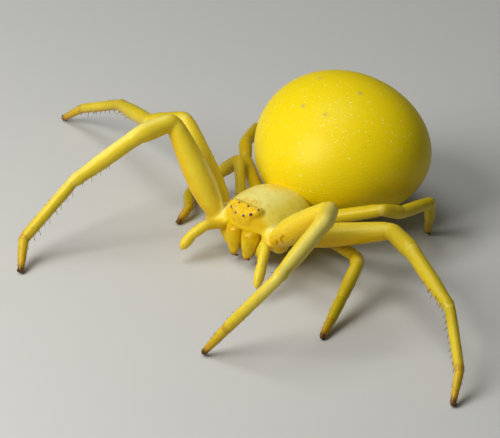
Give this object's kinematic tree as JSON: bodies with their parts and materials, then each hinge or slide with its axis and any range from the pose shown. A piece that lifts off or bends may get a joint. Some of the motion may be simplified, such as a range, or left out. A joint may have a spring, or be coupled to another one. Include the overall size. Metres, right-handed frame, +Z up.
{
  "type": "crab spider",
  "caption": "Still life-size crab spider with a round swollen abdomen, long front legs held wide open and short folded hind legs, standing on its feet.",
  "frame": {"origin": "middle of the model's footprint on the ground", "axes": "+Z up, -Y the way the spider faces, +X towards the spider's left"},
  "size_m": [0.0252, 0.0163, 0.0058],
  "materials": {
    "yellow_skin": "satin translucent yellow",
    "cream_shield": "satin pale cream yellow",
    "lemon_abdomen": "satin lemon yellow",
    "amber_jaw": "glossy amber",
    "eye_dark": "glossy near black"
  },
  "bodies": {
    "root": {"abdomen": "lemon_abdomen", "chelicera_left": "amber_jaw", "chelicera_right": "amber_jaw", "eye_front_lateral_left": "eye_dark", "eye_front_lateral_right": "eye_dark", "eye_front_median_left": "eye_dark", "eye_front_median_right": "eye_dark", "eye_rear_lateral_left": "eye_dark", "eye_rear_lateral_right": "eye_dark", "eye_rear_median_left": "eye_dark", "eye_rear_median_right": "eye_dark", "head_and_thorax": "cream_shield", "leg_1_left_femur": "yellow_skin", "leg_1_left_foot": "yellow_skin", "leg_1_left_tibia": "yellow_skin", "leg_1_right_femur": "yellow_skin", "leg_1_right_foot": "yellow_skin", "leg_1_right_tibia": "yellow_skin", "leg_2_left_femur": "yellow_skin", "leg_2_left_foot": "yellow_skin", "leg_2_left_tibia": "yellow_skin", "leg_2_right_femur": "yellow_skin", "leg_2_right_foot": "yellow_skin", "leg_2_right_tibia": "yellow_skin", "leg_3_left_femur": "yellow_skin", "leg_3_left_foot": "yellow_skin", "leg_3_left_tibia": "yellow_skin", "leg_3_right_femur": "yellow_skin", "leg_3_right_foot": "yellow_skin", "leg_3_right_tibia": "yellow_skin", "leg_4_left_femur": "yellow_skin", "leg_4_left_foot": "yellow_skin", "leg_4_left_tibia": "yellow_skin", "leg_4_right_femur": "yellow_skin", "leg_4_right_foot": "yellow_skin", "leg_4_right_tibia": "yellow_skin", "palp_left": "yellow_skin", "palp_right": "yellow_skin"}
  },
  "joints": []
}
